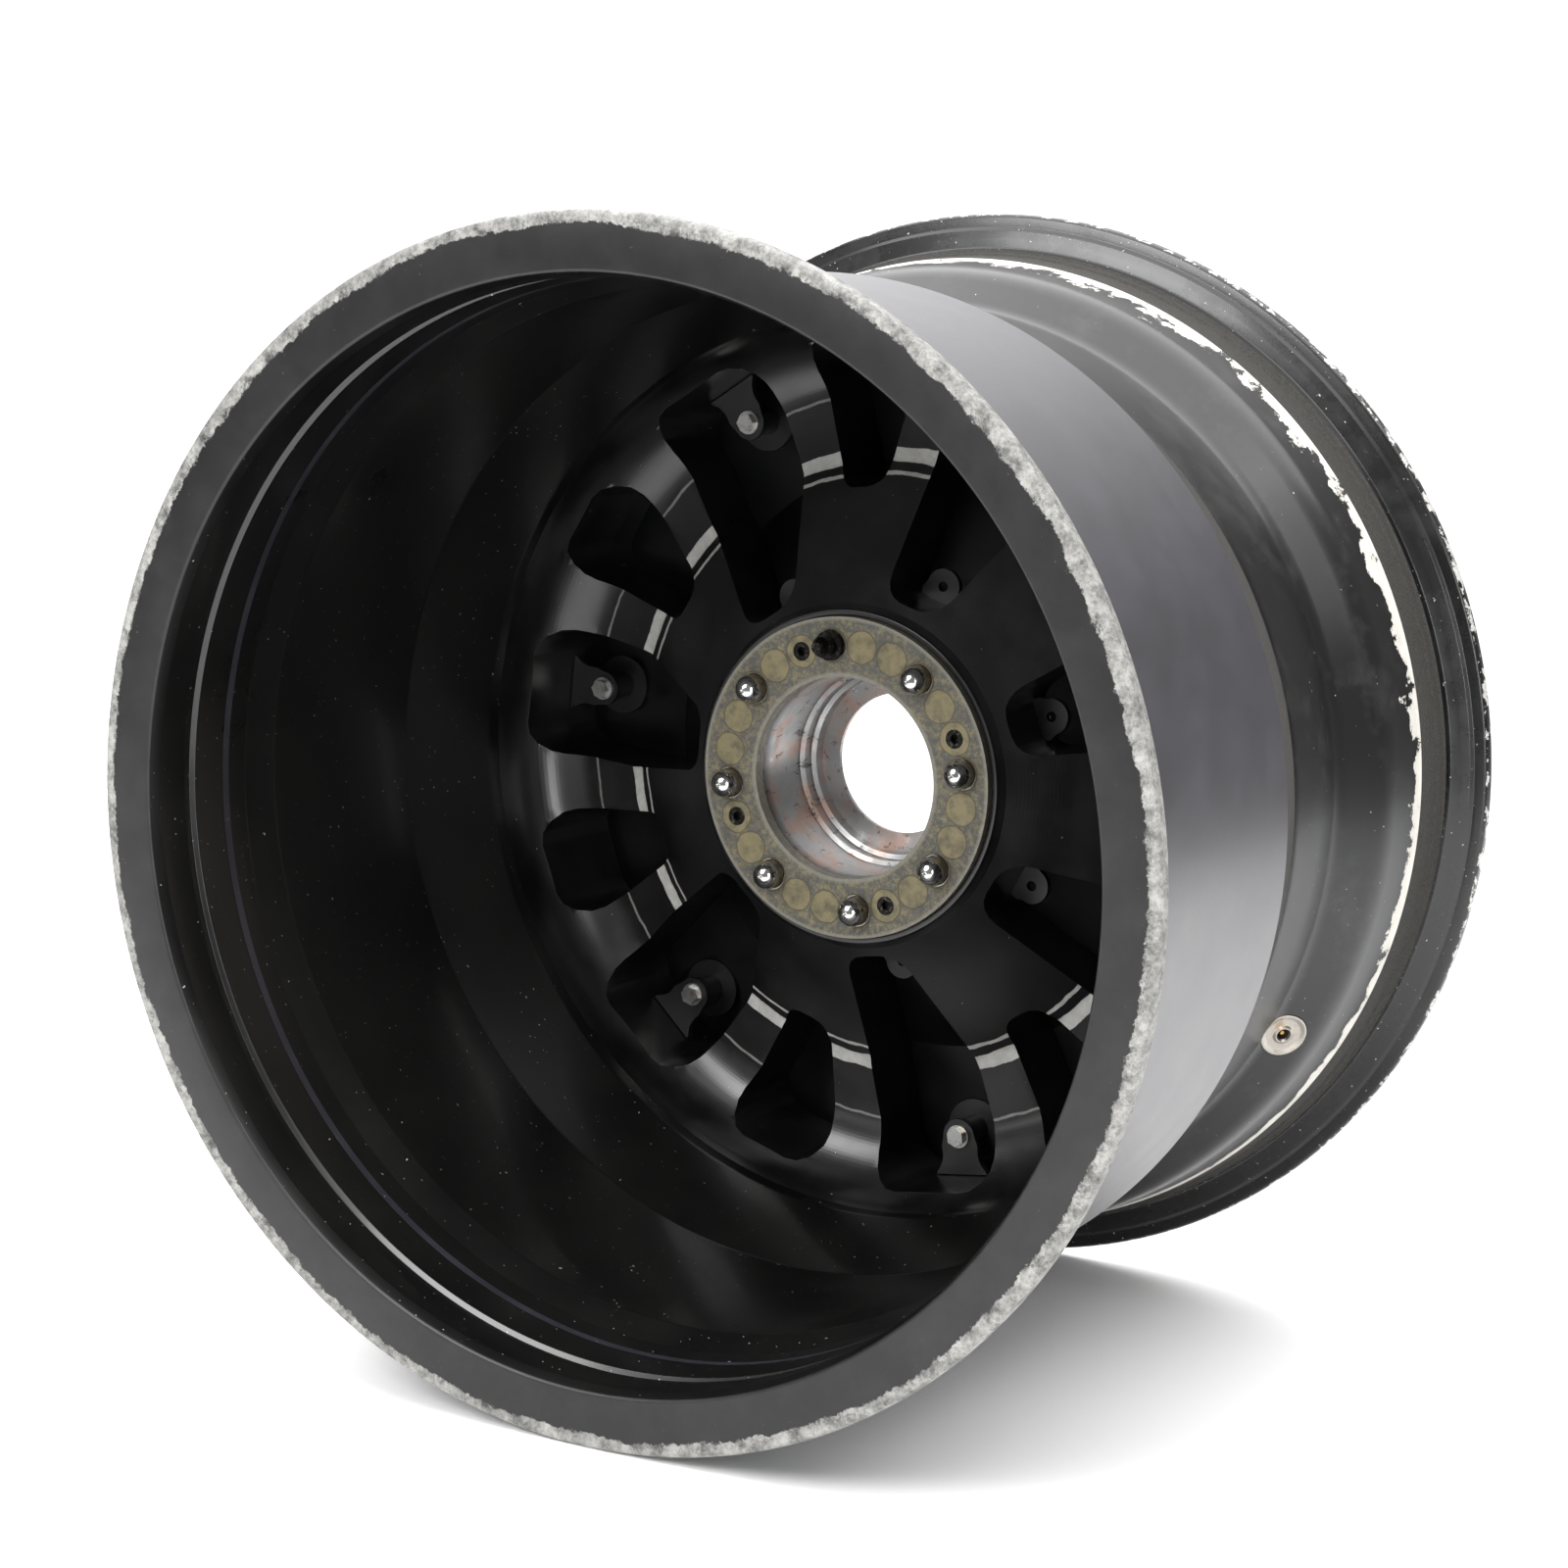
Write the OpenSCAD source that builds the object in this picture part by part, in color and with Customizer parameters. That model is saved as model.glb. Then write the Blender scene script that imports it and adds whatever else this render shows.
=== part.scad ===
// Forged single-piece racing wheel, 18 x 13 inch, centre-lock.
// The spin axis lies along Y. Inboard is -Y and outboard is +Y, with +Z up.
// The origin is at mid width on the spin axis.

/* [Rim] */
// Outer diameter over the flanges
flange_d = 492; // [480:1:500]
// Bead seat diameter at the flange
bead_seat_d = 457.2; // [456:0.1:458]
// Width between the flanges, where the tyre beads sit
seat_width = 330; // [320:1:340]
// Thickness of each flange along the axis
flange_t = 9.5; // [8:0.5:11]
// Diameter of the drum between the inboard seat and the well
drum_d = 442; // [438:1:444]
// Diameter of the drop-centre well
well_d = 412; // [408:1:416]
// Wall thickness of the barrel
wall = 5; // [4:0.5:6]

/* [Centre] */
// Number of Y-shaped spokes
spokes = 7; // [5:1:9]
// Angle of the first fork window, clockwise from the top seen from inboard
first_station = -7; // [-25:1:25]
// Thickness of the spoke disc along the axis
disc_t = 38; // [34:1:42]
// Diameter of the hub boss at its face
hub_d = 148; // [146:1:152]
// Axial place of the hub boss face
hub_face_y = 32; // [28:1:36]

/* [Windows] */
// Radius of the round inner end of a long window
long_tip_r = 12; // [9:1:14]
// Distance of that end's centre from the axis
long_tip_at = 93; // [90:1:98]
// Half width of a long window at its waist
long_waist = 28; // [24:1:30]
// Half width of a long window near the barrel
long_outer = 31; // [28:1:33]
// Radius of the round inner end of a fork window
fork_tip_r = 9; // [7:1:11]
// Distance of that end's centre from the axis
fork_tip_at = 135; // [132:1:140]
// Half width of a fork window near the barrel
fork_outer = 29; // [25:1:31]
// Distance of the windows' outer edge from the axis
window_reach = 195; // [190:1:197]

/* [Drive ring] */
// Outer diameter of the drive ring
ring_d = 143; // [138:1:145]
// Bore of the hub, which slides over the axle
bore_d = 90; // [86:1:92]
// Thickness of the drive ring
ring_t = 6; // [5:0.5:8]
// Pitch circle diameter of the drive pegs
peg_pcd = 118; // [112:1:120]
// Number of drive pegs
pegs = 8; // [6:1:8]
// Shank diameter of a drive peg
peg_d = 13; // [11:0.5:14]
// Height of a peg above the ring
peg_h = 10; // [8:0.5:14]
// Head diameter of a ring screw
screw_head_d = 8.5; // [7:0.5:9]

/* [Bore] */
// Bore of the liner at its outboard end, for the nut's nose
throat_d = 64; // [56:1:70]
// Axial place of the hub's outboard face
hub_end_y = 96; // [92:1:100]

/* [Cover] */
// Thickness of the outboard aero cover
cover_t = 3; // [2:0.5:4]
// Distance of the outer ear bolts from the axis
bolt_at = 177; // [172:1:180]
// Distance of the inner ears from the axis
inner_ear_at = 88; // [86:1:94]

/* [Valve] */
// Angle of the valve, clockwise from the top seen from inboard
valve_station = 120; // [60:1:150]
// Diameter of the valve's head
valve_head_d = 21; // [16:1:22]
// Shank diameter of the valve
valve_shank_d = 10; // [8:0.5:12]
// Travel of the valve's core pin
pin_travel = 2; // [1:0.5:3]

/* [Hidden] */
fit_gap = 0.3;
over = 1;
flange_r = flange_d / 2;
seat_r = bead_seat_d / 2;
drum_r = drum_d / 2;
well_r = well_d / 2;
hub_r = hub_d / 2;
ring_r = ring_d / 2;
bore_r = bore_d / 2;
throat_r = throat_d / 2;
half_seat = seat_width / 2;
half_width = half_seat + flange_t;
pitch = 360 / spokes;
core_r = long_tip_at - long_tip_r + 1;
tine_end_r = window_reach - 1;
root_r = 128;
waist_r = 60;
long_corner_r = 14;
fork_corner_r = 13;
barrel_inner_r = well_r - wall;

// inboard face of the spoke disc: hub cone, shallow shoulder, then a fillet up to the barrel
cone_end = [137, 77];
shoulder_end = [168, 85];
fillet_r = barrel_inner_r - shoulder_end[0];
fillet_centre = [shoulder_end[0], shoulder_end[1] - fillet_r];

// drum taper, well, steep flank and shallow outboard cone along the barrel
taper_from_y = 2;
well_from_y = 46;
split_y = 49;
well_to_y = 92;
flank_y = 110;
flank_r = 222.2;
cone_to_y = 142;
hump_h = 1.2;
hump_at = 29;
hump_half = 3;
drum_from = 38;
bead_web = 8;
bead_inner_r = seat_r - bead_web;
seat_slope = 21;
bead_step = 6;
lip_round = 4.5;
ledge_r = 226;

// rim of the spoke disc, where it joins the outboard cone
disc_rim_y = shoulder_end[1] + disc_t + 5;
disc_rim_r = flank_r - wall;

// drive ring stack
ring_face_y = hub_face_y - 3;
ring_back_y = ring_face_y + ring_t;
recess_r = ring_r + fit_gap;
peg_r = peg_pcd / 2;
peg_tail_r = peg_d / 2 - 1;
peg_seat_r = peg_d / 2 + 0.5;
peg_depth = 16;
nose_hole_r = 0.9;
index_collar_h = 3;
index_stem_r = 4.5;
index_stem_h = 6;
index_tip_h = 4;
screw_shank_r = 2.5;
screw_head_t = 5;
screw_len = 14;
screw_angle = 15;
socket_r = 2.3;
socket_depth = 3;
screw_sink = 0.4;

// bore liner and nut seat
liner_t = 3;
liner_end_y = 82;
step_r = 2;
step_len = 6;
nose_taper = 6;

// cover and its fastenings
cover_inner_r = 82;
cover_lap = 13;
cover_outer_r = window_reach + cover_lap;
cover_gap = 1;
ear_t = 3;
outer_ear_y = 104;
inner_ear_y = 66;
ear_r = 8;
ear_foot = 13;
bolt_shank_r = 2;
bolt_hex_r = 4.4;
bolt_hex_t = 3;
bolt_len = 14;
washer_r = 5.4;
washer_t = 1;
boss_r = 6.5;
pad_r = 14;
pad_t = 2;

// valve through the flank of the well, square to its surface
valve_y = 98;
valve_window = round((valve_station - first_station) / pitch - 0.5);
cone_angle = atan((flank_r - well_r) / (flank_y - well_to_y));
valve_r = well_r + (valve_y - well_to_y) * tan(cone_angle);
spot_depth = 4;
valve_head_t = 3;
valve_len = 37;
valve_bore_r = 2.6;
seal_t = 1.2;
nut_from = 30;
valve_boss_r = 9;
valve_boss_from = 12;
nut_t = 5;
nut_hex_r = 8;
core_from = 15;
core_len = 18;
core_wall = 0.4;
core_end_t = 1.5;
pin_r = 0.9;
pin_proud = 3;
pin_collar_r = 1.8;
spring_wire_r = 0.3;
spring_mean_r = 1.5;
spring_turns = 6;
spring_len = 11;

// turns local +Z to +Y, so local radius and height become wheel radius and axial place
module on_axis() rotate([-90, 0, 0]) children();

// places children at the valve, with +Z square to the flank and away from the axle
module at_valve() rotate([0, 0, valve_station - 90]) translate([valve_r, 0, valve_y])
    rotate([0, 90 + cone_angle, 0]) children();

// tube between two axial places
module ring_between(inner, outer, y1, y2) {
    translate([0, 0, y1]) difference() {
        cylinder(r = outer, h = y2 - y1, $fn = 128);
        translate([0, 0, -over]) cylinder(r = inner, h = y2 - y1 + 2 * over, $fn = 128);
    }
}

// places children at each peg station or each ring screw, on the pitch circle
module at_pegs(first, last) for (i = [first : last])
    rotate([0, 0, first_station - 90 + i * 360 / pegs]) translate([peg_r, 0, 0]) children();
module at_screws() for (i = [0 : 3])
    rotate([0, 0, first_station - screw_angle - 90 + i * 90]) translate([peg_r, 0, 0]) children();

// places children at the middle of each long window, except one that is left out
module at_long_windows(r, left_out) for (i = [0 : spokes - 1]) if (i != left_out)
    rotate([0, 0, first_station - 90 + (i + 0.5) * pitch]) translate([r, 0, 0]) children();

// points of a circular arc about a centre, from one angle to another
function arc(c, r, a1, a2, n) = [for (i = [0 : n])
    let (a = a1 + (a2 - a1) * i / n) [c[0] + r * cos(a), c[1] + r * sin(a)]];

function face_points() = concat([[hub_r, hub_face_y], cone_end],
    arc(fillet_centre, fillet_r, 90, 0, 8));

// solid of revolution of the spoke disc between two radii
module disc_slice(r1, r2) {
    rotate_extrude($fn = 128) intersection() {
        polygon(concat(face_points(), [
            [barrel_inner_r, shoulder_end[1] + disc_t + 4],
            [shoulder_end[0], shoulder_end[1] + disc_t],
            [cone_end[0], cone_end[1] + disc_t],
            [hub_r, hub_face_y + disc_t]]));
        translate([r1, 0]) square([r2 - r1, 2 * half_width]);
    }
}

// outline with round corners, from corner points and corner radii listed in turn
function unit(v) = v / norm(v);
function corner(p, q, s, r, n = 6) = let (
        u = unit(p - q), w = unit(s - q),
        half = acos(u * w) / 2,
        c = q + unit(u + w) * r / sin(half),
        t1 = q + u * r / tan(half) - c, t2 = q + w * r / tan(half) - c,
        a1 = atan2(t1[1], t1[0]), a2 = atan2(t2[1], t2[0]),
        turn = a2 - a1 > 180 ? a2 - a1 - 360 : a2 - a1 < -180 ? a2 - a1 + 360 : a2 - a1)
    [for (i = [0 : n]) c + r * [cos(a1 + turn * i / n), sin(a1 + turn * i / n)]];
function rounded(points, radii) = let (n = len(points))
    [for (i = [0 : n - 1]) each corner(points[(i + n - 1) % n], points[i], points[(i + 1) % n], radii[i])];

long_window = rounded(
    [[long_tip_at - long_tip_r, -long_tip_r - 2], [cone_end[0], -long_waist], [window_reach, -long_outer],
     [window_reach, long_outer], [cone_end[0], long_waist], [long_tip_at - long_tip_r, long_tip_r + 2]],
    [long_tip_r, waist_r, long_corner_r, long_corner_r, waist_r, long_tip_r]);

fork_window = rounded(
    [[fork_tip_at - fork_tip_r, -fork_tip_r - 1], [window_reach, -fork_outer],
     [window_reach, fork_outer], [fork_tip_at - fork_tip_r, fork_tip_r + 1]],
    [fork_tip_r, fork_corner_r, fork_corner_r, fork_tip_r]);

module windows() {
    for (i = [0 : spokes - 1]) {
        rotate([0, 0, first_station - 90 + i * pitch])
            linear_extrude(height = 2 * half_width) polygon(fork_window);
        rotate([0, 0, first_station - 90 + (i + 0.5) * pitch])
            linear_extrude(height = 2 * half_width) polygon(long_window);
    }
}

// flange section: bead face, rounded lip and the stepped back of the bead
module flange_section() {
    polygon(concat(
        [[bead_inner_r, 0], [seat_r, 0], [seat_r + bead_step, 0.8], [flange_r - bead_step, 1.5]],
        arc([flange_r - lip_round, flange_t - lip_round], lip_round, -55, 90, 6),
        [[seat_r, flange_t], [seat_r - wall, flange_t - 2.5], [bead_inner_r, flange_t / 2]]));
}

module inboard_flange() {
    color("dimgray") on_axis() mirror([0, 0, 1]) translate([0, 0, half_seat])
        rotate_extrude($fn = 128) flange_section();
}

module outboard_flange() {
    color("dimgray") on_axis() translate([0, 0, half_seat])
        rotate_extrude($fn = 128) flange_section();
}

// outboard half of the barrel, with the rim of the spoke disc and a boss for the valve
module rim_barrel() {
    color([0.08, 0.08, 0.09]) on_axis() difference() {
        union() {
            difference() {
                barrel_wall(split_y, half_seat);
                windows();
            }
            at_valve() translate([0, 0, -nut_from])
                cylinder(r = valve_boss_r, h = nut_from - valve_boss_from, $fn = 48);
        }
        at_valve() {
            translate([0, 0, -valve_len]) cylinder(r = valve_shank_d / 2, h = 2 * valve_len, $fn = 48);
            translate([0, 0, -spot_depth]) cylinder(r = valve_head_d / 2 + fit_gap, h = valve_len, $fn = 48);
        }
    }
}

// solid of revolution of the barrel between two axial places
module barrel_wall(y1, y2) {
    rotate_extrude($fn = 128) intersection() {
        polygon(concat(
            [[bead_inner_r, -half_seat], [seat_r, -half_seat],
             [ledge_r, -half_seat + hump_at - hump_half], [ledge_r + hump_h, -half_seat + hump_at],
             [ledge_r, -half_seat + hump_at + hump_half],
             [drum_r, -half_seat + drum_from], [drum_r, taper_from_y], [well_r, well_from_y],
             [well_r, well_to_y], [flank_r, flank_y], [ledge_r - 1, cone_to_y],
             [ledge_r, half_seat - seat_slope], [seat_r, half_seat], [bead_inner_r, half_seat],
             [bead_inner_r, half_seat - bead_web], [ledge_r - wall - 2, cone_to_y - 1],
             [disc_rim_r, disc_rim_y], [tine_end_r, disc_rim_y - 1]],
            arc(fillet_centre, fillet_r, acos((tine_end_r - fillet_centre[0]) / fillet_r), 0, 4),
            [[drum_r - wall, taper_from_y - 3], [drum_r - wall, -half_seat + hump_at],
             [bead_inner_r, -half_seat + hump_at - 2 * hump_half]]));
        translate([0, y1]) square([2 * flange_r, y2 - y1]);
    }
}

// inboard half of the barrel: bead seat with a safety hump, drum and taper
module rim_drum() {
    color([0.09, 0.09, 0.1]) on_axis() barrel_wall(-half_seat, split_y);
}

// fourteen tines that fork from the spokes and run out to the barrel
module spoke_tines() {
    color([0.1, 0.1, 0.11]) on_axis() difference() {
        disc_slice(root_r, tine_end_r);
        windows();
    }
}

// stems of the spokes, from the hub out to the forks
module spoke_roots() {
    color([0.1, 0.1, 0.11]) on_axis() difference() {
        disc_slice(core_r, root_r);
        windows();
    }
}

// hub boss with the recess that holds the drive ring
module hub_boss() {
    color([0.12, 0.12, 0.13]) on_axis() difference() {
        union() {
            ring_between(bore_r + liner_t, hub_r, hub_face_y, hub_end_y);
            disc_slice(hub_r, core_r);
        }
        windows();
        translate([0, 0, hub_face_y - over])
            cylinder(r = recess_r, h = ring_back_y - hub_face_y + over, $fn = 128);
        at_pegs(0, pegs - 1) translate([0, 0, ring_back_y - over])
            cylinder(r = peg_tail_r, h = peg_depth, $fn = 48);
        at_screws() translate([0, 0, ring_back_y - over])
            cylinder(r = screw_shank_r, h = screw_len, $fn = 32);
    }
}

// liner of the bore, with the stepped rings near its outboard end
module bore_liner() {
    color("silver") on_axis() rotate_extrude($fn = 128) polygon([
        [bore_r, ring_back_y], [bore_r + liner_t, ring_back_y], [bore_r + liner_t, liner_end_y],
        [bore_r - 2 * step_r, liner_end_y], [bore_r - 2 * step_r, liner_end_y - step_len],
        [bore_r - step_r, liner_end_y - step_len - 1], [bore_r - step_r, liner_end_y - 2 * step_len - 1],
        [bore_r, liner_end_y - 2 * step_len - 2]]);
}

// conical seat for the wheel nut
module nut_seat() {
    color("lightgray") on_axis() rotate_extrude($fn = 128) polygon([
        [throat_r, liner_end_y], [bore_r + liner_t, liner_end_y], [bore_r + liner_t, hub_end_y],
        [bore_r - 2, hub_end_y], [throat_r, hub_end_y - 2 * nose_taper]]);
}

// hard-coated drive ring with its peg holes and counterbored screw holes
module drive_ring() {
    color([0.76, 0.72, 0.58]) on_axis() difference() {
        ring_between(bore_r, ring_r, ring_face_y, ring_back_y);
        at_pegs(0, pegs - 1) translate([0, 0, ring_face_y - over])
            cylinder(r = peg_seat_r, h = ring_t + 2 * over, $fn = 48);
        at_screws() translate([0, 0, ring_face_y - over]) {
            cylinder(r = screw_shank_r, h = ring_t + 2 * over, $fn = 32);
            cylinder(r = screw_head_d / 2, h = screw_head_t + screw_sink + over, $fn = 32);
        }
    }
}

// tail pressed into the hub, seat in the ring and foot of the nose, common to every peg
module peg_foot(proud) {
    translate([0, 0, ring_face_y - proud]) cylinder(r = peg_d / 2, h = proud + over, $fn = 48);
    translate([0, 0, ring_face_y]) cylinder(r = peg_seat_r, h = ring_t, $fn = 48);
    translate([0, 0, ring_back_y]) cylinder(r = peg_tail_r, h = peg_depth - over, $fn = 48);
}

// bullet-nosed drive pegs, each with a centre hole in the nose
module drive_pegs() {
    color("gainsboro") on_axis() at_pegs(1, pegs - 1) {
        peg_foot(peg_h - peg_d / 2);
        translate([0, 0, ring_face_y - peg_h]) rotate_extrude($fn = 48) polygon(concat(
            [[nose_hole_r, 1.5], [nose_hole_r, 0.1]],
            arc([0, peg_d / 2], peg_d / 2, -82, 0, 10), [[0, peg_d / 2], [0, 1.5]]));
    }
}

// dark index peg, slimmer and longer, with a tapered tip
module index_peg() {
    color([0.2, 0.19, 0.18]) on_axis() at_pegs(0, 0) {
        peg_foot(index_collar_h);
        translate([0, 0, ring_face_y - index_collar_h - index_stem_h])
            cylinder(r = index_stem_r, h = index_stem_h, $fn = 48);
        translate([0, 0, ring_face_y - index_collar_h - index_stem_h - index_tip_h])
            cylinder(r1 = index_stem_r - 2, r2 = index_stem_r, h = index_tip_h, $fn = 48);
    }
}

// socket-head cap screws that hold the drive ring
module ring_screws() {
    color([0.15, 0.15, 0.15]) on_axis() at_screws() translate([0, 0, ring_face_y + screw_sink]) difference() {
        union() {
            cylinder(r = screw_head_d / 2 - 0.1, h = screw_head_t, $fn = 32);
            cylinder(r = screw_shank_r, h = screw_len, $fn = 32);
        }
        translate([0, 0, -over]) cylinder(r = socket_r, h = socket_depth + over, $fn = 6);
    }
}

// height of the cover's inner surface above the spoke disc's inboard face line
function cover_y(r) = cover_gap + disc_t + (r < cone_end[0]
    ? hub_face_y + (r - hub_r) * (cone_end[1] - hub_face_y) / (cone_end[0] - hub_r)
    : cone_end[1] + (r - cone_end[0]) * (shoulder_end[1] - cone_end[1]) / (shoulder_end[0] - cone_end[0]));

// dished aero cover behind the spokes
module aero_cover() {
    color([0.07, 0.07, 0.08]) on_axis() rotate_extrude($fn = 128) polygon([
        for (r = [cover_inner_r, cone_end[0], cover_outer_r]) [r, cover_y(r)],
        for (r = [cover_outer_r, cone_end[0], cover_inner_r]) [r, cover_y(r) + cover_t]]);
}

// barrel-shaped bosses on the cover, each on a round pad, which the ear bolts screw into
module cover_bosses() {
    color([0.09, 0.09, 0.1]) on_axis() at_long_windows(bolt_at, valve_window) difference() {
        union() {
            translate([0, 0, outer_ear_y + ear_t])
                cylinder(r = boss_r, h = cover_y(bolt_at - pad_r) - outer_ear_y - ear_t, $fn = 48);
            translate([0, 0, cover_y(bolt_at - pad_r) - pad_t]) cylinder(r = pad_r, h = pad_t, $fn = 64);
        }
        translate([0, 0, outer_ear_y]) cylinder(r = bolt_shank_r, h = bolt_len, $fn = 32);
    }
}

// round-nosed ear with a hole and concave flanks, from its foot at one distance to its nose at another
module ear(foot_at, nose_at, y) {
    side = sign(foot_at - nose_at);
    translate([nose_at, 0, y]) difference() {
        linear_extrude(height = ear_t) difference() {
            union() {
                circle(r = ear_r, $fn = 48);
                polygon([[0, -ear_r], [foot_at - nose_at, -ear_foot],
                    [foot_at - nose_at, ear_foot], [0, ear_r]]);
            }
            for (m = [-1, 1]) translate([side * ear_r, m * (ear_r + ear_foot)])
                circle(r = ear_foot - 1, $fn = 48);
        }
        translate([0, 0, -over]) cylinder(r = bolt_shank_r + fit_gap, h = ear_t + 2 * over, $fn = 32);
    }
}

// ears at the outer end of the long windows for the cover's bolts, but for the window with the valve
module outer_ears() {
    color([0.12, 0.12, 0.13]) on_axis() at_long_windows(0, valve_window)
        ear(window_reach, bolt_at, outer_ear_y);
}

// ears at the hub end of each long window, with plain holes
module inner_ears() {
    color([0.12, 0.12, 0.13]) on_axis() at_long_windows(0, -1) intersection() {
        ear(core_r - 4, inner_ear_at, inner_ear_y);
        translate([0, 0, inner_ear_y]) linear_extrude(height = ear_t) polygon(long_window);
    }
}

// hexagon bolts through the outer ears
module ear_bolts() {
    color("silver") on_axis() at_long_windows(bolt_at, valve_window) {
        translate([0, 0, outer_ear_y - washer_t - bolt_hex_t])
            cylinder(r = bolt_hex_r, h = bolt_hex_t, $fn = 6);
        translate([0, 0, outer_ear_y - washer_t]) cylinder(r = bolt_shank_r, h = bolt_len, $fn = 32);
    }
}

// washers under the bolt heads
module ear_washers() {
    color("gray") on_axis() at_long_windows(bolt_at, valve_window)
        translate([0, 0, outer_ear_y - washer_t]) difference() {
            cylinder(r = washer_r, h = washer_t, $fn = 48);
            translate([0, 0, -over]) cylinder(r = bolt_shank_r, h = washer_t + 2 * over, $fn = 32);
        }
}

// valve body: round head in the spot face and a shank through the rim
module valve_body() {
    color("silver") on_axis() at_valve() difference() {
        union() {
            translate([0, 0, -spot_depth + seal_t])
                cylinder(r = valve_head_d / 2, h = valve_head_t, $fn = 64);
            translate([0, 0, -valve_len])
                cylinder(r = valve_shank_d / 2, h = valve_len - spot_depth + seal_t + over, $fn = 48);
        }
        translate([0, 0, -valve_len - over])
            cylinder(r = valve_bore_r, h = valve_len + 2 * valve_head_t, $fn = 32);
    }
}

// flat ring seal under the head
module valve_seal() {
    color([0.05, 0.05, 0.05]) on_axis() at_valve() translate([0, 0, -spot_depth]) difference() {
        cylinder(r = valve_head_d / 2 - 1, h = seal_t, $fn = 48);
        translate([0, 0, -over]) cylinder(r = valve_shank_d / 2, h = seal_t + 2 * over, $fn = 48);
    }
}

// hexagon nut on the shank, inside the window
module valve_nut() {
    color("silver") on_axis() at_valve() translate([0, 0, -nut_from - nut_t]) difference() {
        cylinder(r = nut_hex_r, h = nut_t, $fn = 6);
        translate([0, 0, -over]) cylinder(r = valve_shank_d / 2, h = nut_t + 2 * over, $fn = 48);
    }
}

// sleeve of the valve core, closed but for the pin's hole at its tyre end
module valve_core() {
    color("goldenrod") on_axis() at_valve() translate([0, 0, -core_from - core_len]) difference() {
        cylinder(r = valve_bore_r, h = core_len, $fn = 32);
        translate([0, 0, -over])
            cylinder(r = valve_bore_r - core_wall, h = core_len - core_end_t + over, $fn = 32);
        cylinder(r = pin_r + fit_gap, h = core_len + over, $fn = 32);
    }
}

// spring between the core's end and the pin's collar
module valve_spring() {
    color("silver") on_axis() at_valve()
        translate([0, 0, -core_from - core_end_t - spring_len - 2 * spring_wire_r])
            linear_extrude(height = spring_len, twist = 360 * spring_turns, slices = 16 * spring_turns)
                translate([spring_mean_r, 0]) scale([1, 1.6]) circle(r = spring_wire_r, $fn = 8);
}

// pin that opens the valve when it is pushed towards the tyre
module valve_pin() {
    color("goldenrod") on_axis() at_valve() {
        translate([0, 0, -core_from - core_len - pin_proud])
            cylinder(r = pin_r, h = core_len + pin_proud + core_from - pin_travel, $fn = 24);
        translate([0, 0, -core_from - core_len + 1]) cylinder(r = pin_collar_r, h = 1.5, $fn = 32);
    }
}

inboard_flange();
rim_drum();
rim_barrel();
outboard_flange();
spoke_tines();
spoke_roots();
hub_boss();
bore_liner();
nut_seat();
drive_ring();
drive_pegs();
index_peg();
ring_screws();
aero_cover();
cover_bosses();
outer_ears();
inner_ears();
ear_bolts();
ear_washers();
valve_body();
valve_seal();
valve_nut();
valve_core();
valve_spring();
valve_pin();
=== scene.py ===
import math

import bmesh
import bpy
from mathutils import Matrix, Vector


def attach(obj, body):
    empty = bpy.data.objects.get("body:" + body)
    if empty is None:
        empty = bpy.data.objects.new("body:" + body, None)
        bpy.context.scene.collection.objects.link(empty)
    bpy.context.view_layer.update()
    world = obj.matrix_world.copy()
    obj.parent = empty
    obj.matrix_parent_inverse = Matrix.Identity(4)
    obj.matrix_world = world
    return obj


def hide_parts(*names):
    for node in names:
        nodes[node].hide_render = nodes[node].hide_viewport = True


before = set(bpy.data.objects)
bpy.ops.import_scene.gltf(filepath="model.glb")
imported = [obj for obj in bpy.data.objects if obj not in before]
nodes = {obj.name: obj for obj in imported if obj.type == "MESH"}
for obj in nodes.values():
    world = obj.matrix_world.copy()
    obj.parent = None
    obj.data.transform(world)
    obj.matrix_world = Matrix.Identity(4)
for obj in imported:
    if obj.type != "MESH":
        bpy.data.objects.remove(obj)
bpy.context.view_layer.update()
mm = 0.001  # sizes below are in millimetres, the scene is in metres


def hexColour(code):  # sRGB hex to linear
    channels = [int(code[i:i + 2], 16) / 255 for i in (1, 3, 5)]
    linear = [c / 12.92 if c <= 0.04045 else ((c + 0.055) / 1.055) ** 2.4 for c in channels]
    return (*linear, 1.0)


def addNode(tree, kind, settings=None, inputs=None):  # one node with its settings and links
    node = tree.nodes.new("ShaderNode" + kind)
    for name, value in (settings or {}).items():
        setattr(node, name, value)
    for name, value in (inputs or {}).items():
        if isinstance(value, bpy.types.NodeSocket):
            tree.links.new(value, node.inputs[name])
        else:
            node.inputs[name].default_value = value
    return node


def newFinish(name, base, roughness, metallic=0.0, coat=0.0, coatRoughness=0.03):
    finish = bpy.data.materials.new(name)
    finish.use_nodes = True
    shader = finish.node_tree.nodes["Principled BSDF"]
    shader.inputs["Base Color"].default_value = hexColour(base)
    shader.inputs["Roughness"].default_value = roughness
    shader.inputs["Metallic"].default_value = metallic
    shader.inputs["Coat Weight"].default_value = coat
    shader.inputs["Coat Roughness"].default_value = coatRoughness
    return finish, finish.node_tree, shader


def maths(tree, operation, a, b=0.0, c=0.0):
    return addNode(tree, "Math", {"operation": operation}, {0: a, 1: b, 2: c}).outputs[0]


def joinUp(tree, shader, colour, roughness=None):  # feeds a finish's colour and roughness to its shader
    tree.links.new(colour, shader.inputs["Base Color"])
    if roughness is not None:
        tree.links.new(roughness, shader.inputs["Roughness"])


def placeInMm(tree):  # place on the part, in millimetres
    place = addNode(tree, "TexCoord").outputs["Object"]
    return addNode(tree, "VectorMath", {"operation": "SCALE"}, {0: place, "Scale": 1 / mm}).outputs[0]


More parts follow.
